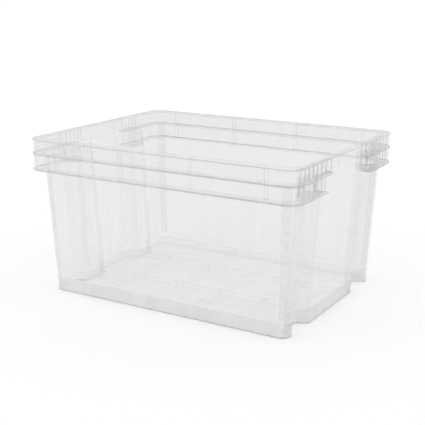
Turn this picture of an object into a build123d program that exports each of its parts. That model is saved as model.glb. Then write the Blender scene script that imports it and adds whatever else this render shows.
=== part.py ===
from build123d import *
import os

# Stack-and-nest storage bin: one clear moulding with an open top, tapered thin walls, inward columns
# on both ends, a ribbed floor inside a base skirt, and a hollow rim of three flanges.
# Millimetres. +X runs to the right end, -Y is the front, +Z is up. The origin is the middle of the
# base's underside.

# Driving dimensions
LENGTH = 432.0
WIDTH = 330.0
HEIGHT = 230.0
WALL = 2.0

# Tapered body, outside faces, at the underside and at the top
BASE_HALF_LENGTH = 192.5
BASE_HALF_WIDTH = 141.0
BASE_CORNER = 12.0
TOP_HALF_LENGTH = 206.2
TOP_HALF_WIDTH = 152.2
TOP_CORNER = 19.0

# Base
SKIRT_HEIGHT = 21.0
FLOOR_TOP = 14.0
FLOOR_THICK = 2.0
FLOOR_RIB_FOOT = 3.0
FLOOR_RIB = 1.6
LONG_RIB_Y = 47.0
CROSS_RIB_X = (38.0, 113.0)

# Inward columns: both edges of the mouth measured from the middle, the bevel of each side, and the
# depth. The bevels grow towards the top, so the columns get narrower there and bins nest.
RIGHT_MOUTH_BASE = (75.0, 122.5)
RIGHT_MOUTH_TOP = (72.5, 124.0)
RIGHT_BEVEL = (6.0, 16.0)
LEFT_MOUTH_BASE = (37.0, 92.5)
LEFT_MOUTH_TOP = (35.0, 101.0)
LEFT_BEVEL = (6.5, 18.0)
COLUMN_DEPTH = 17.0

# Rim: three flanges with skins between them
FLANGE = 2.4
LOW_LEVEL = 184.0
MID_LEVEL = 207.0
TOP_LEVEL = HEIGHT - FLANGE
RIM_CORNER = 22.0
LIP = 1.5
RIM_RIB = 1.8
RIM_RIB_X = (56.0, 168.0)
SKIN_END_Y = 90.0
RIGHT_RIB_Y = (59.0, 78.0, 89.0, 102.0, 114.0, 126.0, 138.0)
LEFT_RIB_Y = (52.0, 61.0, 70.0, 79.0, 88.0, 97.0)

# Ends of the flanges beside the hand openings
MID_END_Y = 58.0
RIGHT_LOW_END_Y = 73.0
LEFT_LOW_END_Y = 58.0

# Hand grips
GRIP_HALF = 45.0
GRIP_BOTTOM = 206.0
GRIP_THICK = 2.0
GRIP_ROUND = 8.0

# Cut lines between neighbouring features, and the reach of a cut that has no far side
CORNER_X = 178.0
COLUMN_BACK_X = 141.0
RIGHT_PANEL_Y = 70.0
RIGHT_CORNER_Y = 127.0
LEFT_PANEL_Y = 32.0
LEFT_CORNER_Y = 104.0
RIM_CORNER_Y = 127.0
REACH = 300.0

os.makedirs("parts", exist_ok=True)


def between(base, top, z):
    """A size that changes evenly from the underside to the top."""
    return base + (top - base) * z / HEIGHT


def end_mouths(x, depth, mouth_base, mouth_top, bevel, z):
    """Points down one end of the body, through both inward columns, from front to back."""
    inner = between(mouth_base[0], mouth_top[0], z)
    outer = between(mouth_base[1], mouth_top[1], z)
    slant = between(*bevel, z)
    half = [(x, inner), (x - depth, inner + slant), (x - depth, outer - slant), (x, outer)]
    return [(px, -py) for px, py in reversed(half)] + half


def body_outline(z, inset, columns):
    """Plan of the tapered body at height z, moved in by inset, with or without the columns."""
    half_length = between(BASE_HALF_LENGTH, TOP_HALF_LENGTH, z)
    half_width = between(BASE_HALF_WIDTH, TOP_HALF_WIDTH, z)
    corner = between(BASE_CORNER, TOP_CORNER, z)
    right = []
    left = []
    if columns:
        right = end_mouths(half_length, COLUMN_DEPTH, RIGHT_MOUTH_BASE, RIGHT_MOUTH_TOP, RIGHT_BEVEL, z)
        left = end_mouths(half_length, COLUMN_DEPTH, LEFT_MOUTH_BASE, LEFT_MOUTH_TOP, LEFT_BEVEL, z)
        left = [(-px, -py) for px, py in left]
    points = [(-half_length, -half_width), (half_length, -half_width), *right]
    points += [(half_length, half_width), (-half_length, half_width), *left]
    with BuildSketch(Plane.XY.offset(z)) as plan:
        with BuildLine():
            Polyline(*points, close=True)
        make_face()
        fillet(plan.vertices().group_by(Axis.Y)[0] + plan.vertices().group_by(Axis.Y)[-1], radius=corner)
        if inset:
            offset(amount=-inset, kind=Kind.INTERSECTION)
    return plan.sketch


def body_block(bottom, top, inset, columns):
    """The tapered body as a solid block between two heights."""
    with BuildPart() as block:
        add(body_outline(bottom, inset, columns))
        add(body_outline(top, inset, columns))
        loft(ruled=True)
    return block.part


def rim_block(bottom, top, inset):
    """The rim's outline as a solid block between two heights, moved in by inset."""
    with BuildPart() as block:
        with BuildSketch(Plane.XY.offset(bottom)):
            RectangleRounded(LENGTH - 2 * inset, WIDTH - 2 * inset, RIM_CORNER - inset)
        extrude(amount=top - bottom)
    return block.part


def span(a, b):
    """Centre and size of the stretch between two values, in either order."""
    return (a + b) / 2, abs(b - a)


def zone(x, y, z):
    """A box given by its stretch along each axis."""
    (cx, dx), (cy, dy), (cz, dz) = span(*x), span(*y), span(*z)
    return Pos(cx, cy, cz) * Box(dx, dy, dz)


def export(piece, name):
    """Label a finished piece and write it as one node."""
    piece.part.label = name
    export_step(piece.part, f"parts/{name}.step")


def carve(name, source, *zones):
    """One node: the stretches of a source solid inside the given zones."""
    with BuildPart() as piece:
        add(zones)
        add(source, mode=Mode.INTERSECT)
    export(piece, name)


# The shell: outside block less inside block, with the columns below the ledges and plain above them
outer_low = body_block(0.0, MID_LEVEL, 0.0, True)
inner_low = body_block(0.0, MID_LEVEL, WALL, True)
outer_high = body_block(MID_LEVEL, HEIGHT, 0.0, False)
inner_high = body_block(MID_LEVEL, HEIGHT, WALL, False)
shell_low = outer_low - inner_low
shell_high = outer_high - inner_high
shell = shell_low + shell_high

SKIRT = (0.0, SKIRT_HEIGHT)
WALL_RISE = (SKIRT_HEIGHT, HEIGHT)
COLUMN_RISE = (SKIRT_HEIGHT, MID_LEVEL)
HEAD_RISE = (MID_LEVEL, HEIGHT)
LOW = (LOW_LEVEL, LOW_LEVEL + FLANGE)
MID = (MID_LEVEL, MID_LEVEL + FLANGE)
TOP = (TOP_LEVEL, HEIGHT)
LOWER_BAND = (LOW[1], MID[0])
UPPER_BAND = (MID[1], TOP[0])
MIDDLE = (-CORNER_X, CORNER_X)

# Floor panel, and the rib grid under it, with the cross ribs broken where the long ribs run
carve("floor_panel", inner_low, zone((-REACH, REACH), (-REACH, REACH), (FLOOR_TOP - FLOOR_THICK, FLOOR_TOP)))
rib_rise = (FLOOR_RIB_FOOT, FLOOR_TOP - FLOOR_THICK)
long_ribs = [
    zone((-REACH, REACH), (side * LONG_RIB_Y - FLOOR_RIB / 2, side * LONG_RIB_Y + FLOOR_RIB / 2), rib_rise)
    for side in (-1, 1)
]
carve("floor_ribs_long", inner_low, *long_ribs)
cell_edge = LONG_RIB_Y - FLOOR_RIB / 2
bays = [(-REACH, -LONG_RIB_Y - FLOOR_RIB / 2), (-cell_edge, cell_edge), (LONG_RIB_Y + FLOOR_RIB / 2, REACH)]
cross_ribs = [
    zone((side * x - FLOOR_RIB / 2, side * x + FLOOR_RIB / 2), bay, rib_rise)
    for x in CROSS_RIB_X
    for side in (-1, 1)
    for bay in bays
]
carve("floor_ribs_cross", inner_low, *cross_ribs)

# Rim sources: flange rings, the skin between them, and the hollow cells behind the skin
top_ring = rim_block(*TOP, 0.0) - outer_high
mid_ring = rim_block(*MID, 0.0) - outer_high
low_ring = rim_block(*LOW, 0.0) - outer_low
skin_inset = LIP + WALL
lower_skin = rim_block(*LOWER_BAND, LIP) - rim_block(*LOWER_BAND, skin_inset)
upper_skin = rim_block(*UPPER_BAND, LIP) - rim_block(*UPPER_BAND, skin_inset)
skins = lower_skin + upper_skin
lower_cells = rim_block(*LOWER_BAND, skin_inset) - outer_low
upper_cells = rim_block(*UPPER_BAND, skin_inset) - outer_high

# Front and back: skirt, wall, flanges, skin and the ribs that tie the skin to the wall
for side_name, side in (("front", -1), ("back", 1)):
    long_side = (side * REACH, side * RIM_CORNER_Y)
    carve(f"skirt_{side_name}", shell_low, zone(MIDDLE, long_side, SKIRT))
    carve(f"{side_name}_wall", shell, zone(MIDDLE, long_side, WALL_RISE))
    carve(f"low_flange_{side_name}", low_ring, zone(MIDDLE, long_side, LOW))
    carve(f"mid_flange_{side_name}", mid_ring, zone(MIDDLE, long_side, MID))
    carve(f"top_rim_{side_name}", top_ring, zone(MIDDLE, long_side, TOP))
    carve(f"{side_name}_skin", skins, zone(MIDDLE, long_side, (LOW[1], TOP[0])))
    side_ribs = [
        zone((end * x - RIM_RIB / 2, end * x + RIM_RIB / 2), long_side, (LOW[1], TOP[0]))
        for x in RIM_RIB_X
        for end in (-1, 1)
    ]
    carve(f"{side_name}_rim_ribs", lower_cells + upper_cells, *side_ribs)

# Ends: skirt, panel, columns, ledges, flanges, skins, ribs and the hand grip
ledge_block = body_block(*MID, WALL, False) - body_block(*MID, WALL, True)
end_sizes = {
    "left": (-1, LEFT_PANEL_Y, LEFT_CORNER_Y, LEFT_LOW_END_Y, LEFT_RIB_Y),
    "right": (1, RIGHT_PANEL_Y, RIGHT_CORNER_Y, RIGHT_LOW_END_Y, RIGHT_RIB_Y),
}
for end_name, (end, panel_y, corner_y, low_end_y, rib_y) in end_sizes.items():
    outward = (end * CORNER_X, end * REACH)
    whole_end = (end * COLUMN_BACK_X, end * REACH)
    panel = (-panel_y, panel_y)
    carve(f"skirt_{end_name}", shell_low, zone(whole_end, (-corner_y, corner_y), SKIRT))
    carve(f"{end_name}_panel", shell, zone(whole_end, panel, WALL_RISE))
    carve(f"top_rim_{end_name}", top_ring, zone(outward, (-RIM_CORNER_Y, RIM_CORNER_Y), TOP))
    column_spans = {"front": (-corner_y, -panel_y), "back": (panel_y, corner_y)}
    for side_name, column in column_spans.items():
        carve(f"{end_name}_column_{side_name}", shell_low, zone(whole_end, column, COLUMN_RISE))
    both = column_spans.values()
    carve(f"{end_name}_ledges", ledge_block, *[zone(whole_end, column, MID) for column in both])
    carve(f"{end_name}_column_heads", shell_high, *[zone(whole_end, column, HEAD_RISE) for column in both])
    feet = [zone(outward, (side * corner_y, side * REACH), SKIRT) for side in (-1, 1)]
    carve(f"skirt_corners_{end_name}", shell_low, *feet)
    for side_name, side in (("front", -1), ("back", 1)):
        corner_name = f"{side_name}_{end_name}"
        carve(f"corner_wall_{corner_name}", shell, zone(outward, (side * corner_y, side * REACH), WALL_RISE))
        rim_corner = (side * RIM_CORNER_Y, side * REACH)
        carve(f"top_rim_corner_{corner_name}", top_ring, zone(outward, rim_corner, TOP))
        carve(f"mid_flange_{corner_name}", mid_ring, zone(outward, (side * MID_END_Y, side * REACH), MID))
        carve(f"low_flange_{corner_name}", low_ring, zone(outward, (side * low_end_y, side * REACH), LOW))
        skin_stretch = (side * SKIN_END_Y, side * REACH)
        carve(f"corner_skin_{corner_name}", skins, zone(outward, skin_stretch, (LOW[1], TOP[0])))
    upper_ribs = [
        zone(outward, (side * y - RIM_RIB / 2, side * y + RIM_RIB / 2), UPPER_BAND)
        for y in rib_y
        for side in (-1, 1)
    ]
    lower_ribs = [
        zone(outward, (side * y - RIM_RIB / 2, side * y + RIM_RIB / 2), LOWER_BAND)
        for y in rib_y
        for side in (-1, 1)
        if y > low_end_y
    ]
    carve(f"{end_name}_rim_ribs", lower_cells + upper_cells, *upper_ribs, *lower_ribs)

    with BuildPart() as grip:
        with BuildSketch(Plane.YZ.offset(end * LENGTH / 2)):
            with Locations((0, (GRIP_BOTTOM + TOP[0]) / 2)):
                grip_plate = Rectangle(2 * GRIP_HALF, TOP[0] - GRIP_BOTTOM)
            fillet(grip_plate.vertices().group_by(Axis.Z)[0], radius=GRIP_ROUND)
        extrude(amount=-end * GRIP_THICK)
    export(grip, f"{end_name}_hand_grip")
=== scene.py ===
import math

import bmesh
import bpy
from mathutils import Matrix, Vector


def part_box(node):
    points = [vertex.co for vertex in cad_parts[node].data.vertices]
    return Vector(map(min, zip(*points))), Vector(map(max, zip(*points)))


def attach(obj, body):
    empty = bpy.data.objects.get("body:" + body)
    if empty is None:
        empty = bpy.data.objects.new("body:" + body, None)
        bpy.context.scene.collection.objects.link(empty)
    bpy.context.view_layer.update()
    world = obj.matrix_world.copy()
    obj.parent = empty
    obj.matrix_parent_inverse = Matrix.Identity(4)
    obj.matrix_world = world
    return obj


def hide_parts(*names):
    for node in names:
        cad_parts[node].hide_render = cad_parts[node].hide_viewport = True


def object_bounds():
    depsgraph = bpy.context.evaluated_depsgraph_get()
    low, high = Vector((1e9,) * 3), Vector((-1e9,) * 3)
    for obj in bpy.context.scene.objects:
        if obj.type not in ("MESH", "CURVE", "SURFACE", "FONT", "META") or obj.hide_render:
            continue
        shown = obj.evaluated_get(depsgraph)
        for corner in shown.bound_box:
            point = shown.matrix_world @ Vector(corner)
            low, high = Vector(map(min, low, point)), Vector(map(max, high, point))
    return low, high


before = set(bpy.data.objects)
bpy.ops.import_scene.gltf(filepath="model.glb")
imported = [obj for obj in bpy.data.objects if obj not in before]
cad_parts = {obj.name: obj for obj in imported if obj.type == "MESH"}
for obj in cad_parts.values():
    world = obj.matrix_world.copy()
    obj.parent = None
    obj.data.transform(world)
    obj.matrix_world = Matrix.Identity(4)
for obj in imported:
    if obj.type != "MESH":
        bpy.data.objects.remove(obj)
cad_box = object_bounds()

# ------------------------------------------------------------------ sizes, in metres
HALF_LENGTH, HALF_WIDTH, HEIGHT = cad_box[1]
SKIRT_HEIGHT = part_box("skirt_front")[1][2]
FLOOR_BOTTOM, FLOOR_TOP = (corner[2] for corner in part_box("floor_panel"))
RIB_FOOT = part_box("floor_ribs_long")[0][2]
LOW_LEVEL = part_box("low_flange_front")[0][2]
MID_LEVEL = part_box("mid_flange_front")[0][2]
TOP_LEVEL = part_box("top_rim_front")[0][2]
FLANGE = HEIGHT - TOP_LEVEL
LOWER_BAND = (LOW_LEVEL + FLANGE, MID_LEVEL)
UPPER_BAND = (MID_LEVEL + FLANGE, TOP_LEVEL)

BASE_HALF = (0.1925, 0.141)
TOP_HALF = (0.2062, 0.1522)
BASE_CORNER = 0.012
TOP_CORNER = 0.019
RIM_CORNER = 0.022
LIP = 0.0015
WALL = 0.002
COLUMN_DEPTH = 0.017
LONG_RIB_Y = 0.047
CROSS_RIB_X = (0.038, 0.113)
FLOOR_RIB = 0.0016
RIM_RIB_X = (0.056, 0.168)
RIM_RIB = 0.0018
CORNER_STEPS = 8
COLUMN_BEND = 0.0045
GRIP_ROUND = 0.008
OPENING_ROUND = 0.008
EDGE_ROUND = 0.0004
FOOT_ROUND = 0.001
GAP = 0.00003

# Sizes that differ between the right end (1) and the left end (-1). For the columns: both edges of the mouth
# at the underside and at the top, and the bevel of the sides.
COLUMNS = {
    1: {"base": (0.0750, 0.1225), "top": (0.0725, 0.1240), "bevel": (0.0060, 0.0160)},
    -1: {"base": (0.0370, 0.0925), "top": (0.0350, 0.1010), "bevel": (0.0065, 0.0180)},
}
END_RIB_Y = {
    1: (0.059, 0.078, 0.089, 0.102, 0.114, 0.126, 0.138),
    -1: (0.052, 0.061, 0.070, 0.079, 0.088, 0.097),
}
LOW_END_Y = {1: 0.073, -1: 0.058}
MID_END_Y = {-1: 0.058, 1: 0.058}
SKIN_END_Y = {-1: 0.090, 1: 0.090}


def between(base, top, z):
    """A size that changes evenly from the underside to the top."""
    return base + (top - base) * z / HEIGHT


def column_lines(end, z):
    """Mouth and bevelled inner lines of an end's columns at height z, from the middle outwards."""
    sizes = COLUMNS[end]
    inner, outer = (between(b, t, z) for b, t in zip(sizes["base"], sizes["top"]))
    slant = between(*sizes["bevel"], z)
    return inner, inner + slant, outer - slant, outer


# ------------------------------------------------------------------ modelling tools
def select_only(piece):
    bpy.ops.object.select_all(action="DESELECT")
    bpy.context.view_layer.objects.active = piece
    piece.select_set(True)


def edit(piece):
    """Open a piece in edit mode, as the only selected object."""
    select_only(piece)
    bpy.ops.object.mode_set(mode="EDIT")


def finish_edit():
    bpy.ops.object.mode_set(mode="OBJECT")


def near(a, b, slack=0.0003):
    return abs(a - b) < slack


def climbs(edge):
    """Whether an edge rises, rather than lying level."""
    return abs(edge.verts[0].co.z - edge.verts[1].co.z) > 0.005


def plumb(edge):
    """Whether an edge runs straight up, however short."""
    first, second = (v.co for v in edge.verts)
    return near(first.x, second.x) and near(first.y, second.y) and not near(first.z, second.z)


def pick(kind, test, also=None):
    """In edit mode, select the vertices, edges or faces whose corners all pass the test."""
    bpy.ops.mesh.select_mode(type=kind)
    bpy.ops.mesh.select_all(action="DESELECT")
    mesh = bmesh.from_edit_mesh(bpy.context.object.data)
    if kind == "VERT":
        chosen = [v for v in mesh.verts if test(v.co)]
    else:
        items = mesh.edges if kind == "EDGE" else mesh.faces
        chosen = [item for item in items if all(test(v.co) for v in item.verts)]
    if also:
        chosen = [item for item in chosen if also(item)]
    for item in chosen:
        item.select_set(True)
    mesh.select_flush_mode()
    bmesh.update_edit_mesh(bpy.context.object.data)


def move(delta):
    bpy.ops.transform.translate(value=delta)


def scale_about(value, centre):
    bpy.ops.transform.resize(value=value, center_override=centre)


def bake(piece, kind, name, **settings):
    """Add a modifier with its settings and apply it."""
    select_only(piece)
    modifier = piece.modifiers.new(name, kind)
    for key, value in settings.items():
        setattr(modifier, key, value)
    bpy.ops.object.modifier_apply(modifier=modifier.name)


def block(name, low, high):
    """A box from its two corners, at the origin with its place in its mesh."""
    bpy.ops.object.select_all(action="DESELECT")
    centre = [(a + b) / 2 for a, b in zip(low, high)]
    size = [b - a for a, b in zip(low, high)]
    bpy.ops.mesh.primitive_cube_add(size=1, location=centre, scale=size)
    bpy.ops.object.transform_apply(location=True, rotation=True, scale=True)
    bpy.context.object.name = name
    return bpy.context.object


def copy_of(piece, name):
    """A copy with its own mesh."""
    twin = piece.copy()
    twin.data = piece.data.copy()
    twin.name = name
    bpy.context.collection.objects.link(twin)
    return twin


def join(name, parts):
    bpy.ops.object.select_all(action="DESELECT")
    for part in parts:
        part.select_set(True)
    bpy.context.view_layer.objects.active = parts[0]
    bpy.ops.object.join()
    bpy.context.object.name = name
    return bpy.context.object


def discard(*pieces):
    for piece in pieces:
        bpy.data.objects.remove(piece)


def cut(piece, *cutters):
    """Take cutters out of a piece, and throw the cutters away."""
    for cutter in cutters:
        bake(piece, "BOOLEAN", "cut", operation="DIFFERENCE", object=cutter, solver="EXACT")
    discard(*cutters)


def soften(piece, width=EDGE_ROUND, steps=2, angle=35):
    """Round the moulded edges a little and shade smoothly."""
    bake(piece, "BEVEL", "soft edges", width=width, segments=steps, limit_method="ANGLE",
         angle_limit=math.radians(angle), use_clamp_overlap=True, miter_outer="MITER_ARC")
    bpy.ops.object.shade_smooth_by_angle(angle=math.radians(32))


def tidy_mesh(piece):
    """Merge doubles and dissolve leftover flat edges."""
    edit(piece)
    bpy.ops.mesh.select_all(action="SELECT")
    bpy.ops.mesh.remove_doubles(threshold=0.00002)
    bpy.ops.mesh.dissolve_limited(angle_limit=math.radians(0.4))
    finish_edit()


# ------------------------------------------------------------------ tapered body surface
def body_surface(name):
    """Outside surface of the tapered body, open at both ends, with its inward columns."""
    body = block(name, (-TOP_HALF[0], -TOP_HALF[1], 0), (TOP_HALF[0], TOP_HALF[1], HEIGHT))
    edit(body)
    bpy.ops.mesh.select_mode(type="FACE")
    bpy.ops.mesh.select_all(action="SELECT")
    bpy.ops.mesh.bisect(plane_co=(0, 0, MID_LEVEL), plane_no=(0, 0, 1))
    for end in (-1, 1):
        lines = column_lines(end, HEIGHT)
        for y in (-lines[3], -lines[0], lines[0], lines[3]):
            pick("FACE", lambda p: near(p.x, end * TOP_HALF[0]))
            bpy.ops.mesh.bisect(plane_co=(0, y, 0), plane_no=(0, 1, 0))
    pick("FACE", lambda p: near(p.z, 0))
    bpy.ops.mesh.delete(type="FACE")
    pick("FACE", lambda p: near(p.z, HEIGHT))
    bpy.ops.mesh.delete(type="FACE")
    for end in (-1, 1):
        inner, bevel_in, bevel_out, outer = column_lines(end, HEIGHT)
        for side in (-1, 1):
            low_y, high_y = sorted((side * inner, side * outer))
            pick("FACE", lambda p: near(p.x, end * TOP_HALF[0]) and p.z < MID_LEVEL + 0.001
                 and low_y - 0.001 < p.y < high_y + 0.001)
            bpy.ops.mesh.extrude_region_move(TRANSFORM_OT_translate={"value": (-end * COLUMN_DEPTH, 0, 0)})
            scale_about((1, (bevel_out - bevel_in) / (outer - inner), 1),
                        (0, side * (inner + outer) / 2, 0))
    pick("FACE", lambda p: near(p.z, 0))
    bpy.ops.mesh.delete(type="FACE")
    for level in (0, MID_LEVEL):
        taper_level(level)
    round_corners()
    finish_edit()
    return body


def taper_level(level):
    """Bring the vertices of one level in to the body's true size there."""
    half = [between(base, top, level) for base, top in zip(BASE_HALF, TOP_HALF)]
    for end in (-1, 1):
        for side in (-1, 1):
            pick("VERT", lambda p: near(p.z, level) and near(p.x, end * TOP_HALF[0])
                 and near(p.y, side * TOP_HALF[1]))
            move((end * (half[0] - TOP_HALF[0]), side * (half[1] - TOP_HALF[1]), 0))
            for index, (start, goal) in enumerate(zip(column_lines(end, HEIGHT), column_lines(end, level))):
                depth = COLUMN_DEPTH if index in (1, 2) else 0
                pick("VERT", lambda p: near(p.z, level) and near(p.x, end * (TOP_HALF[0] - depth))
                     and near(p.y, side * start))
                move((end * (half[0] - TOP_HALF[0]), side * (goal - start), 0))


def round_corners():
    """Round the four upright corners, with a radius that grows towards the top."""
    middle = (BASE_CORNER + TOP_CORNER) / 2
    pick("EDGE", lambda p: abs(p.x) > between(BASE_HALF[0], TOP_HALF[0], p.z) - 0.0003
         and abs(p.y) > between(BASE_HALF[1], TOP_HALF[1], p.z) - 0.0003, climbs)
    bpy.ops.mesh.bevel(offset=middle, segments=CORNER_STEPS, affect="EDGES")
    for level in (0, MID_LEVEL, HEIGHT):
        half = [between(base, top, level) for base, top in zip(BASE_HALF, TOP_HALF)]
        factor = between(BASE_CORNER, TOP_CORNER, level) / middle
        for end in (-1, 1):
            for side in (-1, 1):
                pick("VERT", lambda p: near(p.z, level) and end * p.x > half[0] - middle - 0.001
                     and side * p.y > half[1] - middle - 0.001)
                scale_about((factor, factor, 1), (end * half[0], side * half[1], level))


def soften_columns(body):
    """Round the upright bends of each column."""
    edit(body)
    for end in (-1, 1):
        for side in (-1, 1):
            for index in range(4):
                depth = COLUMN_DEPTH if index in (1, 2) else 0
                pick("EDGE", lambda p: p.z < MID_LEVEL + 0.001
                     and near(p.x, end * (between(BASE_HALF[0], TOP_HALF[0], p.z) - depth), 0.0006)
                     and near(p.y, side * column_lines(end, p.z)[index], 0.0006), climbs)
                bpy.ops.mesh.bevel(offset=COLUMN_BEND, segments=4, affect="EDGES")
    finish_edit()


def stretch_of(surface, name, low, high, inset=0.0, capped=False):
    """The stretch of the body surface between two heights, moved in by inset, open or capped."""
    piece = copy_of(surface, name)
    edit(piece)
    bpy.ops.mesh.select_all(action="SELECT")
    if inset:
        bpy.ops.transform.shrink_fatten(value=-inset, use_even_offset=True)
    for z, side in ((low, -1), (high, 1)):
        bpy.ops.mesh.select_all(action="SELECT")
        bpy.ops.mesh.bisect(plane_co=(0, 0, z), plane_no=(0, 0, side), clear_outer=True, use_fill=capped)
    finish_edit()
    return piece


def plug_of(surface, name):
    """The whole body as a closed block, for cutting its shape out of the rim pieces."""
    plug = copy_of(surface, name)
    edit(plug)
    bpy.ops.mesh.select_all(action="SELECT")
    bpy.ops.mesh.fill_holes(sides=0)
    bpy.ops.mesh.normals_make_consistent(inside=False)
    finish_edit()
    return plug


# ------------------------------------------------------------------ body pieces
def walls_piece(surface, name, low, high):
    """A stretch of the body as a thin wall, thickened inwards, with a finish for each side."""
    piece = stretch_of(surface, name, low, high)
    for _ in ("outside", "inside"):
        piece.data.materials.append(None)
    bake(piece, "SOLIDIFY", "wall thickness", thickness=WALL, offset=-1, use_even_offset=True,
         material_offset=1, material_offset_rim=1)
    edit(piece)
    for level in (low, high):
        pick("VERT", lambda p: near(p.z, level, 0.0005))
        scale_about((1, 1, 0), (0, 0, level))
    if low == 0:
        pick("EDGE", lambda p: near(p.z, 0))
        bpy.ops.mesh.bevel(offset=FOOT_ROUND, segments=2, affect="EDGES")
    finish_edit()
    soften(piece)
    return piece


def floor_panel(surface):
    piece = stretch_of(surface, "floor_plate", FLOOR_BOTTOM, FLOOR_TOP, WALL + GAP, capped=True)
    soften(piece)
    return piece


def floor_rib(name, low, high):
    """One rib under the floor, thinner at its foot."""
    rib = block(name, low, high)
    edit(rib)
    pick("FACE", lambda p: near(p.z, low[2]))
    along = 0 if high[0] - low[0] > high[1] - low[1] else 1
    draft = [0.7, 0.7, 1]
    draft[along] = 1
    scale_about(draft, [(a + b) / 2 for a, b in zip(low, high)])
    finish_edit()
    soften(rib, 0.0003)
    return rib


def floor_ribs():
    """Two long ribs, and four cross ribs broken where the long ribs run."""
    half_rib = FLOOR_RIB / 2
    half_length = between(BASE_HALF[0], TOP_HALF[0], RIB_FOOT) - WALL - GAP
    half_width = between(BASE_HALF[1], TOP_HALF[1], RIB_FOOT) - WALL - GAP
    top = FLOOR_BOTTOM - GAP
    long_ribs = [
        floor_rib(f"long_rib_{side}", (-half_length, side * LONG_RIB_Y - half_rib, RIB_FOOT),
                  (half_length, side * LONG_RIB_Y + half_rib, top))
        for side in (-1, 1)
    ]
    edge = LONG_RIB_Y - half_rib - GAP
    far_edge = LONG_RIB_Y + half_rib + GAP
    bays = ((-half_width, -far_edge), (-edge, edge), (far_edge, half_width))
    cross_ribs = [
        floor_rib("cross_rib", (side * x - half_rib, bay[0], RIB_FOOT), (side * x + half_rib, bay[1], top))
        for x in CROSS_RIB_X
        for side in (-1, 1)
        for bay in bays
    ]
    return join("long_floor_ribs", long_ribs), join("cross_floor_ribs", cross_ribs)


# ------------------------------------------------------------------ rim pieces
def rim_plate(name, low, high, inset=0.0):
    """A flat plate with the rim's rounded outline."""
    plate = block(name, (inset - HALF_LENGTH, inset - HALF_WIDTH, low),
                  (HALF_LENGTH - inset, HALF_WIDTH - inset, high))
    edit(plate)
    pick("EDGE", lambda p: True, plumb)
    bpy.ops.mesh.bevel(offset=RIM_CORNER - inset, segments=CORNER_STEPS, affect="EDGES")
    finish_edit()
    return plate


def opening_cutter(end, half_span, low, high, radius=OPENING_ROUND):
    """A block that clears the hand opening on one end, past the rim on every side, with rounded corners."""
    x_low, x_high = sorted((end * (TOP_HALF[0] - 0.030), end * (HALF_LENGTH + 0.020)))
    cutter = block("opening_cutter", (x_low, -half_span, low - 0.010), (x_high, half_span, high + 0.010))
    edit(cutter)
    pick("EDGE", lambda p: True, plumb)
    bpy.ops.mesh.bevel(offset=radius, segments=4, affect="EDGES")
    finish_edit()
    return cutter


def flange(name, level, plug, end_spans):
    """One flange ring around the body, open where its ends stop beside the hand openings."""
    ring = rim_plate(name, level, level + FLANGE)
    cut(ring, copy_of(plug, "body_cutter"))
    for end, half_span in end_spans.items():
        cut(ring, opening_cutter(end, half_span, level, level + FLANGE))
    tidy_mesh(ring)
    soften(ring, 0.0005)
    return ring


def skin(name, band):
    """The outer skin between two flanges, with its open stretches at both ends."""
    ring = rim_plate(name, band[0] + GAP, band[1] - GAP, LIP)
    edit(ring)
    for z in (band[0] + GAP, band[1] - GAP):
        pick("FACE", lambda p: near(p.z, z))
        bpy.ops.mesh.delete(type="FACE")
    finish_edit()
    bake(ring, "SOLIDIFY", "wall thickness", thickness=WALL, offset=-1, use_even_offset=True)
    for end, half_span in SKIN_END_Y.items():
        cut(ring, opening_cutter(end, half_span, *band, radius=0.001))
    tidy_mesh(ring)
    soften(ring)
    return ring


def rim_rib(name, low, high, plug):
    """One rib between the wall and the skin, trimmed to the sloping wall."""
    rib = block(name, low, high)
    cut(rib, copy_of(plug, "body_cutter"))
    soften(rib, 0.0003)
    return rib


def long_side_ribs(side, side_name, plug):
    """Four ribs in each band along one long side."""
    half_rib = RIM_RIB / 2
    y_low, y_high = sorted((side * (BASE_HALF[1] + 0.003), side * (HALF_WIDTH - LIP - WALL - GAP)))
    ribs = [
        rim_rib("rib", (end * x - half_rib, y_low, band[0] + GAP),
                (end * x + half_rib, y_high, band[1] - GAP), plug)
        for x in RIM_RIB_X
        for end in (-1, 1)
        for band in (LOWER_BAND, UPPER_BAND)
    ]
    return join(f"rim_ribs_{side_name}", ribs)


def end_ribs(end, end_name, plug):
    """The close-set ribs beside the hand opening and over the columns on one end."""
    half_rib = RIM_RIB / 2
    x_low, x_high = sorted((end * (BASE_HALF[0] - COLUMN_DEPTH), end * (HALF_LENGTH - LIP - WALL - GAP)))
    ribs = [
        rim_rib("rib", (x_low, side * y - half_rib, band[0] + GAP),
                (x_high, side * y + half_rib, band[1] - GAP), plug)
        for y in END_RIB_Y[end]
        for side in (-1, 1)
        for band in (LOWER_BAND, UPPER_BAND)
        if band is UPPER_BAND or y > LOW_END_Y[end]
    ]
    return join(f"rim_ribs_{end_name}", ribs)


def hand_grip(end, end_name):
    """The grip plate under the rim, with rounded lower corners and a rolled lower edge."""
    low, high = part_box(f"{end_name}_hand_grip")
    grip = block(f"grip_{end_name}", low, (high[0], high[1], high[2] - GAP))
    edit(grip)
    pick("EDGE", lambda p: near(p.z, low[2]), lambda e: near(e.verts[0].co.y, e.verts[1].co.y))
    bpy.ops.mesh.bevel(offset=GRIP_ROUND, segments=6, affect="EDGES")
    finish_edit()
    soften(grip, 0.0007, 3)
    return grip


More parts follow.
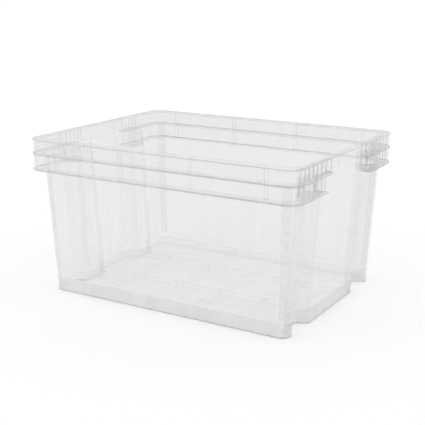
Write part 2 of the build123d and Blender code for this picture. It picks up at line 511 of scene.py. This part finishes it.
# ------------------------------------------------------------------ build
def build_bin():
    """Model every piece, and return the pieces of the base and those of the rest."""
    surface = body_surface("body_surface")
    plug = plug_of(surface, "body_plug")
    soften_columns(surface)
    ends = {-1: "left", 1: "right"}
    corners = [f"{side}_{end}" for side in ("front", "back") for end in ("left", "right")]

    skirt = walls_piece(surface, "base_skirt", 0, SKIRT_HEIGHT - GAP)
    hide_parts("skirt_front", "skirt_back", "skirt_left", "skirt_right",
                "skirt_corners_left", "skirt_corners_right")
    walls = walls_piece(surface, "body_walls", SKIRT_HEIGHT, HEIGHT)
    wall_nodes = ["front_wall", "back_wall"] + [f"corner_wall_{corner}" for corner in corners]
    for end_name in ends.values():
        wall_nodes += [f"{end_name}_panel", f"{end_name}_column_front", f"{end_name}_column_back",
                       f"{end_name}_column_heads", f"{end_name}_ledges"]
    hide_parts(*wall_nodes)
    floor = floor_panel(surface)
    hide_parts("floor_panel")
    long_ribs, cross_ribs = floor_ribs()
    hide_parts("floor_ribs_long")
    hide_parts("floor_ribs_cross")

    low_flange = flange("lower_flange", LOW_LEVEL, plug, LOW_END_Y)
    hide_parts("low_flange_front", "low_flange_back", *[f"low_flange_{c}" for c in corners])
    mid_flange = flange("middle_flange", MID_LEVEL, plug, MID_END_Y)
    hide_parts("mid_flange_front", "mid_flange_back", *[f"mid_flange_{c}" for c in corners])
    top_rim = flange("top_flange", TOP_LEVEL, plug, {})
    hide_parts("top_rim_front", "top_rim_back", "top_rim_left", "top_rim_right",
                *[f"top_rim_corner_{c}" for c in corners])
    lower_skin = skin("lower_skin", LOWER_BAND)
    upper_skin = skin("upper_skin", UPPER_BAND)
    skin_nodes = ["front_skin", "back_skin"] + [f"corner_skin_{c}" for c in corners]
    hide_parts(*skin_nodes)
    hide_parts(*skin_nodes)

    rim_pieces = []
    for side, side_name in ((-1, "front"), (1, "back")):
        ribs = long_side_ribs(side, side_name, plug)
        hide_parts(f"{side_name}_rim_ribs")
        rim_pieces.append(ribs)
    for end, end_name in ends.items():
        ribs = end_ribs(end, end_name, plug)
        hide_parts(f"{end_name}_rim_ribs")
        grip = hand_grip(end, end_name)
        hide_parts(f"{end_name}_hand_grip")
        rim_pieces += [ribs, grip]
    discard(surface, plug)
    base = [skirt, floor, long_ribs, cross_ribs]
    rest = [walls, low_flange, mid_flange, top_rim, lower_skin, upper_skin, *rim_pieces]
    return base, rest


base_pieces, body_pieces = build_bin()


# ------------------------------------------------------------------ shared surface effects
def new_group(name, inputs, outputs):
    """An empty shader group with number or vector inputs and outputs, and its two ends."""
    group = bpy.data.node_groups.new(name, "ShaderNodeTree")
    for label, kind, value in inputs:
        socket = group.interface.new_socket(name=label, in_out="INPUT", socket_type=f"NodeSocket{kind}")
        if value is not None:
            socket.default_value = value
    for label, kind in outputs:
        group.interface.new_socket(name=label, in_out="OUTPUT", socket_type=f"NodeSocket{kind}")
    start = group.nodes.new("NodeGroupInput")
    end = group.nodes.new("NodeGroupOutput")
    return group, start, end


def add(tree, kind, feeds=None, **settings):
    """A node with its settings, and its inputs linked or set from feeds."""
    node = tree.nodes.new(f"ShaderNode{kind}")
    for key, value in settings.items():
        setattr(node, key, value)
    for socket, value in (feeds or {}).items():
        if hasattr(value, "is_output"):
            tree.links.new(value, node.inputs[socket])
        else:
            node.inputs[socket].default_value = value
    return node


def calc(tree, operation, first, second=0.0, third=0.0, clamp=False):
    return add(tree, "Math", {0: first, 1: second, 2: third}, operation=operation, use_clamp=clamp).outputs[0]


def flow_marks():
    """Faint upright streaks and slow waves that the melt leaves in a thin moulded wall."""
    group, start, end = new_group(
        "flow_marks",
        (("Position", "Vector", None), ("Streaks", "Float", 60.0), ("Waves", "Float", 9.0)),
        (("Streak", "Float"), ("Height", "Float")),
    )
    stretch = add(group, "Mapping", {"Vector": start.outputs["Position"], "Scale": (1, 1, 0.06)})
    streak = add(group, "TexNoise", {"Vector": stretch.outputs[0], "Scale": start.outputs["Streaks"],
                                     "Detail": 3.0, "Roughness": 0.55})
    wave = add(group, "TexNoise", {"Vector": start.outputs["Position"], "Scale": start.outputs["Waves"],
                                   "Detail": 1.0, "Distortion": 0.4})
    spread = add(group, "MapRange", {"Value": streak.outputs["Fac"], "From Min": 0.35, "From Max": 0.68})
    slow = calc(group, "MULTIPLY", wave.outputs["Fac"], 2.5)
    group.links.new(spread.outputs[0], end.inputs["Streak"])
    group.links.new(calc(group, "ADD", streak.outputs["Fac"], slow), end.inputs["Height"])
    return group


def fine_grain():
    """Fine grain of the mould face, with small scuffs that catch the light."""
    group, start, end = new_group(
        "fine_grain",
        (("Position", "Vector", None), ("Grain", "Float", 900.0), ("Scuffs", "Float", 45.0)),
        (("Scuff", "Float"), ("Height", "Float")),
    )
    grain = add(group, "TexNoise", {"Vector": start.outputs["Position"], "Scale": start.outputs["Grain"],
                                    "Detail": 2.0})
    turn = add(group, "Mapping", {"Vector": start.outputs["Position"], "Rotation": (0.5, 0.7, 0.4),
                                  "Scale": (1, 5, 0.4)})
    scratch = add(group, "TexNoise", {"Vector": turn.outputs[0], "Scale": start.outputs["Scuffs"],
                                      "Detail": 6.0, "Roughness": 0.7})
    patch = add(group, "TexNoise", {"Vector": start.outputs["Position"], "Scale": 14.0, "Detail": 2.0})
    line = add(group, "MapRange", {"Value": scratch.outputs["Fac"], "From Min": 0.57, "From Max": 0.72})
    where = add(group, "MapRange", {"Value": patch.outputs["Fac"], "From Min": 0.45, "From Max": 0.65})
    group.links.new(calc(group, "MULTIPLY", line.outputs[0], where.outputs[0]), end.inputs["Scuff"])
    group.links.new(grain.outputs["Fac"], end.inputs["Height"])
    return group


def edge_build_up():
    """Mask of the narrow faces on edges, rims and bends, where clear plastic looks denser and wears first,
    and of the skirt's foot, where it paints a contact shadow.
    """
    group, start, end = new_group(
        "edge_build_up",
        (("Position", "Vector", None), ("Breakup", "Float", 120.0), ("Least", "Float", 0.7)),
        (("Edge", "Float"),),
    )
    narrow = add(group, "Attribute", attribute_name="narrow")
    breakup = add(group, "TexNoise", {"Vector": start.outputs["Position"], "Scale": start.outputs["Breakup"],
                                      "Detail": 3.0})
    uneven = add(group, "MapRange", {"Value": breakup.outputs["Fac"], "From Min": 0.3, "From Max": 0.6,
                                     "To Min": start.outputs["Least"]})
    group.links.new(calc(group, "MULTIPLY", narrow.outputs["Fac"], uneven.outputs[0]), end.inputs["Edge"])
    return group


def settled_dust():
    """Mask of faint dust on faces that look upwards."""
    group, start, end = new_group(
        "settled_dust",
        (("Position", "Vector", None), ("Patches", "Float", 25.0)),
        (("Dust", "Float"),),
    )
    shape = add(group, "NewGeometry")
    parts = add(group, "SeparateXYZ", {0: shape.outputs["Normal"]})
    upward = add(group, "MapRange", {"Value": parts.outputs["Z"], "From Min": 0.6, "From Max": 1.0})
    patch = add(group, "TexNoise", {"Vector": start.outputs["Position"], "Scale": start.outputs["Patches"],
                                    "Detail": 5.0, "Roughness": 0.65})
    cover = add(group, "MapRange", {"Value": patch.outputs["Fac"], "From Min": 0.4, "From Max": 0.7})
    group.links.new(calc(group, "MULTIPLY", upward.outputs[0], cover.outputs[0]), end.inputs["Dust"])
    return group


# ------------------------------------------------------------------ materials
FLOW, GRAIN, EDGE, DUST = flow_marks(), fine_grain(), edge_build_up(), settled_dust()


def place_group(tree, group, position, **values):
    node = tree.nodes.new("ShaderNodeGroup")
    node.node_tree = group
    tree.links.new(position, node.inputs["Position"])
    for label, value in values.items():
        node.inputs[label].default_value = value
    return node.outputs


def blend_colour(tree, amount, first, second):
    mix = tree.nodes.new("ShaderNodeMix")
    mix.data_type = "RGBA"
    for index, value in ((0, amount), (6, first), (7, second)):
        if hasattr(value, "is_output"):
            tree.links.new(value, mix.inputs[index])
        else:
            mix.inputs[index].default_value = value if index == 0 else (*value, 1)
    return mix.outputs[2]


def clear_plastic(name, body, dense, face, graze, edge_build=0.3, sharpness=9.0, rough=0.08, clear=0.5,
                  from_inside=1.0):
    """Clear moulded plastic: nearly see-through face on, denser at edges and at a glancing angle.

    The colour runs from body to dense, and the opacity from face to graze. edge_build is how dense a narrow
    face gets, sharpness how late the glancing effect sets in, and clear the share that refracts. from_inside
    is how much of the opacity is left where a face is seen from behind.
    """
    material = bpy.data.materials.new(name)
    material.use_nodes = True
    tree = material.node_tree
    shader = tree.nodes["Principled BSDF"]
    position = add(tree, "TexCoord").outputs["Object"]
    flow = place_group(tree, FLOW, position)
    grain = place_group(tree, GRAIN, position)
    edge = place_group(tree, EDGE, position)
    dust = place_group(tree, DUST, position)
    glance = calc(tree, "POWER", add(tree, "LayerWeight", {"Blend": 0.5}).outputs["Facing"], sharpness)

    density = calc(tree, "MAXIMUM", glance, calc(tree, "MULTIPLY", edge["Edge"], edge_build))
    opacity = add(tree, "MapRange", {"Value": density, "To Min": face, "To Max": graze}).outputs[0]
    streaked = calc(tree, "MULTIPLY_ADD", flow["Streak"], 0.025, opacity)
    scuffed = calc(tree, "MULTIPLY_ADD", grain["Scuff"], 0.05, streaked)
    dusty = calc(tree, "MULTIPLY_ADD", dust["Dust"], 0.06, scuffed, clamp=True)
    behind = add(tree, "NewGeometry").outputs["Backfacing"]
    side = add(tree, "MapRange", {"Value": behind, "To Min": 1.0, "To Max": from_inside}).outputs[0]
    tree.links.new(calc(tree, "MULTIPLY", dusty, side), shader.inputs["Alpha"])

    colour = blend_colour(tree, density, body, dense)
    colour = blend_colour(tree, calc(tree, "MULTIPLY", flow["Streak"], 0.12), colour, dense)
    colour = blend_colour(tree, calc(tree, "MULTIPLY", dust["Dust"], 0.4), colour, (0.9, 0.9, 0.89))
    tree.links.new(colour, shader.inputs["Base Color"])

    worn = calc(tree, "MULTIPLY_ADD", grain["Scuff"], 0.25, rough)
    dull = calc(tree, "MULTIPLY_ADD", dust["Dust"], 0.2, worn)
    tree.links.new(calc(tree, "MULTIPLY_ADD", edge["Edge"], 0.1, dull), shader.inputs["Roughness"])

    height = calc(tree, "MULTIPLY_ADD", grain["Height"], 0.05, flow["Height"])
    bump = add(tree, "Bump", {"Height": height, "Strength": 0.08, "Distance": 0.0004})
    tree.links.new(bump.outputs[0], shader.inputs["Normal"])
    shader.inputs["IOR"].default_value = 1.49
    shader.inputs["Transmission Weight"].default_value = clear
    return material


WALL_PLASTIC = clear_plastic("clear_plastic", (0.97, 0.972, 0.975), (0.5, 0.505, 0.51), 0.07, 0.5,
                             edge_build=0.36)
# The top flange gets a lighter copy of the flange plastic: painted light from above. The lower flanges keep
# the darker copy.
LIT_TOP_RIM_PLASTIC = clear_plastic("clear_plastic_top_rim", (0.95, 0.952, 0.955), (0.45, 0.455, 0.46), 0.08, 0.6,
                                edge_build=0.6, sharpness=4.0, clear=0.2)
FLANGE_PLASTIC = clear_plastic("clear_plastic_flange", (0.93, 0.932, 0.935), (0.24, 0.245, 0.25), 0.08, 0.6,
                               edge_build=0.75, sharpness=4.5, clear=0.2)
RIM_RIB_PLASTIC = clear_plastic("clear_plastic_rim_rib", (0.95, 0.952, 0.955), (0.5, 0.505, 0.51), 0.05, 0.5,
                                edge_build=0.5, sharpness=8.0)
# The end ribs get darker copies of the rib plastic, near-black on the right end: painted dark refraction for
# the close-set rib clusters.
RIGHT_RIB_PLASTIC = clear_plastic("clear_plastic_right_rib", (0.95, 0.952, 0.955), (0.07, 0.07, 0.072), 0.02,
                                  0.9, edge_build=0.7, sharpness=12.0, clear=0.2)
LEFT_RIB_PLASTIC = clear_plastic("clear_plastic_left_rib", (0.93, 0.932, 0.935), (0.25, 0.255, 0.26), 0.06,
                                 0.7, edge_build=0.35, sharpness=10.0, clear=0.15)
FLOOR_RIB_PLASTIC = clear_plastic("clear_plastic_floor_rib", (0.97, 0.972, 0.975), (0.5, 0.505, 0.51), 0.04,
                                  0.5, edge_build=0.4, clear=0.3)
# The skirt is darker and far more opaque than the walls: painted shade for the dark band under the raised
# floor. Seen from inside it is nearly clear, so the back skirt hardly shows.
SKIRT_PAINTED_SHADE_PLASTIC = clear_plastic("clear_plastic_skirt", (0.82, 0.822, 0.825), (0.04, 0.04, 0.042), 0.55, 0.97,
                              edge_build=1.0, sharpness=10.0, rough=0.15, clear=0.15, from_inside=0.1)
BASE_PLASTIC = clear_plastic("clear_plastic_base", (0.97, 0.972, 0.975), (0.6, 0.605, 0.61), 0.05, 0.4,
                             edge_build=0.15, sharpness=10.0, rough=0.12)


def finishes_of(piece):
    """The materials of a piece, with a wall's outer face first and then its inner face."""
    if piece.name.endswith("_flange"):
        return [LIT_TOP_RIM_PLASTIC if piece.name == "top_flange" else FLANGE_PLASTIC]
    if piece.name.endswith("_floor_ribs"):
        return [FLOOR_RIB_PLASTIC]
    if piece.name.startswith("rim_ribs"):
        ends = {"right": RIGHT_RIB_PLASTIC, "left": LEFT_RIB_PLASTIC}
        return [ends.get(piece.name.rsplit("_", 1)[1], RIM_RIB_PLASTIC)]
    if piece.name == "base_skirt":
        return [SKIRT_PAINTED_SHADE_PLASTIC, BASE_PLASTIC]
    if piece.name == "body_walls":
        return [WALL_PLASTIC, WALL_PLASTIC]
    return [BASE_PLASTIC if piece.name == "floor_plate" else WALL_PLASTIC]


def corner_turn(face, length):
    """Whether a tall strip starts one of the body's rounded corners, next to a long side."""
    strip = 0.0024 < face.area / length < 0.0045 and length > 0.1
    return strip and abs(face.normal.y) > abs(face.normal.x) > 0.05


def looks_out(face):
    """Whether a face turns away from the middle of the bin."""
    normal, place = face.normal, face.center
    return normal.x * place.x / HALF_LENGTH ** 2 + normal.y * place.y / HALF_WIDTH ** 2 > 0


# How strongly the edge effect shows on the parts of the base and the walls; on the skirt's foot it paints a
# contact shadow
FOOT_CONTACT_SHADOW, SKIRT_TOP_EDGE = 1.0, 0.6
CORNER_STRIP, DEEP_BEND, OUTER_BEND = 1.1, 0.9, 0.5
COLUMN_SIDE, COLUMN_BACK = 0.6, 0.4


def edge_share(piece, face, length, limit):
    """How strongly the edge effect shows on a face, from its width and where it lies."""
    place, narrow = face.center, face.area < limit * length
    if piece.name == "base_skirt":
        if not (narrow and looks_out(face)):
            return 0.0
        # The foot's narrow faces get the full edge effect: a painted contact shadow where the skirt meets the
        # floor
        return FOOT_CONTACT_SHADOW if place.z < FOOT_ROUND else SKIRT_TOP_EDGE * (place.z > SKIRT_HEIGHT - FOOT_ROUND)
    if piece.name == "body_walls":
        if corner_turn(face, length):
            return CORNER_STRIP
        sunk = between(BASE_HALF[0], TOP_HALF[0], place.z) - abs(place.x)
        if narrow:
            return (DEEP_BEND if sunk > COLUMN_DEPTH / 2 else OUTER_BEND) * (place.z > SKIRT_HEIGHT + LIP)
        in_column = length > 0.1 and COLUMN_DEPTH / 4 < sunk < COLUMN_DEPTH * 1.5
        return (COLUMN_SIDE if abs(face.normal.y) > 0.3 else COLUMN_BACK) * in_column
    if piece.name.endswith("_flange"):
        return float(narrow and looks_out(face))
    return float(narrow)


def mark_narrow_faces(piece, limit=0.0026):
    """Mark the faces along edges, rims, bends and columns with their share of the edge effect."""
    mesh = piece.data
    mask = mesh.attributes.new("narrow", "FLOAT", "FACE")
    for face, value in zip(mesh.polygons, mask.data):
        corners = [mesh.vertices[index].co for index in face.vertices]
        length = max((a - b).length for a, b in zip(corners, corners[1:] + corners[:1]))
        value.value = edge_share(piece, face, length, limit)
        if piece.name == "base_skirt" and value.value > 0:
            face.material_index = 0


for pieces, slot in ((base_pieces, "clear_plastic_base"), (body_pieces, "clear_plastic")):
    for piece in pieces:
        mark_narrow_faces(piece)
        for index, finish in enumerate(finishes_of(piece)):
            if index == len(piece.data.materials):
                piece.data.materials.append(finish)
            piece.data.materials[index] = finish
        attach(piece, "root")


# ------------------------------------------------------------------ stage, light and camera
def seen_directly(tree, through, direct):
    """One value for what is seen bare, and another for what is seen through the bin."""
    path = add(tree, "LightPath")
    bare = calc(tree, "LESS_THAN", path.outputs["Transparent Depth"], 0.5)
    first = calc(tree, "MULTIPLY", path.outputs["Is Camera Ray"], bare)
    return add(tree, "MapRange", {"Value": first, "To Min": through, "To Max": direct}).outputs[0]


def floor_plane():
    bpy.ops.object.select_all(action="DESELECT")
    bpy.ops.mesh.primitive_plane_add(size=80, location=(0, 0, -0.0002))
    bpy.ops.object.transform_apply(location=True, rotation=True, scale=True)
    ground = bpy.context.object
    ground.name = "studio_floor"
    material = bpy.data.materials.new("studio_white")
    material.use_nodes = True
    tree = material.node_tree
    shader = tree.nodes["Principled BSDF"]
    shader.inputs["Specular IOR Level"].default_value = 0.1
    shader.inputs["Emission Color"].default_value = (1, 1, 1, 1)
    position = add(tree, "TexCoord").outputs["Object"]
    grain = place_group(tree, GRAIN, position, Grain=220.0)
    paper = add(tree, "MapRange", {"Value": grain["Height"], "To Min": 0.835, "To Max": 0.845}).outputs[0]
    tree.links.new(paper, shader.inputs["Base Color"])
    tree.links.new(calc(tree, "MULTIPLY_ADD", grain["Height"], 0.1, 0.85), shader.inputs["Roughness"])
    # The floor's glow is weaker within 0.3 m of the bin and grows out to 1.2 m: a painted shadow round the
    # bin.
    away = add(tree, "VectorMath", {0: position}, operation="LENGTH").outputs["Value"]
    glow_with_painted_shadow = add(tree, "MapRange", {"Value": away, "From Min": 0.3, "From Max": 1.2,
                                  "To Min": 0.215, "To Max": 0.32}).outputs[0]
    tree.links.new(seen_directly(tree, 0.08, glow_with_painted_shadow), shader.inputs["Emission Strength"])
    ground.data.materials.append(material)


def area_light(name, place, aim, size, power):
    light = bpy.data.objects.new(name, bpy.data.lights.new(name, "AREA"))
    bpy.context.collection.objects.link(light)
    light.location = place
    light.rotation_euler = look(place, aim)
    light.data.shape = "DISK"
    light.data.size = size
    light.data.energy = power


def look(place, aim):
    """Turn that points a light or camera from one place at another, with no roll."""
    dx, dy, dz = (b - a for a, b in zip(place, aim))
    return (math.atan2(math.hypot(dx, dy), -dz), 0, math.atan2(-dx, dy))


def studio():
    world = bpy.data.worlds.new("studio")
    bpy.context.scene.world = world
    world.use_nodes = True
    tree = world.node_tree
    backdrop = tree.nodes["Background"]
    backdrop.inputs["Color"].default_value = (1, 1, 1, 1)
    tree.links.new(seen_directly(tree, 0.86, 1.1), backdrop.inputs["Strength"])
    area_light("key_light", (-0.9, -1.4, 2.0), (0, 0, 0.1), 1.6, 4)
    area_light("rim_light", (1.2, 1.3, 1.6), (0, 0, 0.1), 1.2, 2)


def place_camera():
    aim = (-0.0108, 0.0127, 0.108)
    azimuth = math.radians(30.98)
    rise = math.radians(14.83)
    distance = 1.3749
    camera = bpy.data.objects.new("camera", bpy.data.cameras.new("camera"))
    bpy.context.collection.objects.link(camera)
    camera.location = (aim[0] + distance * math.cos(rise) * math.sin(azimuth),
                       aim[1] - distance * math.cos(rise) * math.cos(azimuth),
                       aim[2] + distance * math.sin(rise))
    camera.rotation_euler = (math.pi / 2 - rise, 0, azimuth)
    camera.data.sensor_width = 36
    camera.data.lens = 76.96
    bpy.context.scene.camera = camera


floor_plane()
studio()
place_camera()
scene = bpy.context.scene
scene.view_settings.view_transform = "Standard"
scene.cycles.max_bounces = 40
scene.cycles.glossy_bounces = 40
scene.cycles.diffuse_bounces = 12
scene.cycles.transmission_bounces = 40
scene.cycles.transparent_max_bounces = 40
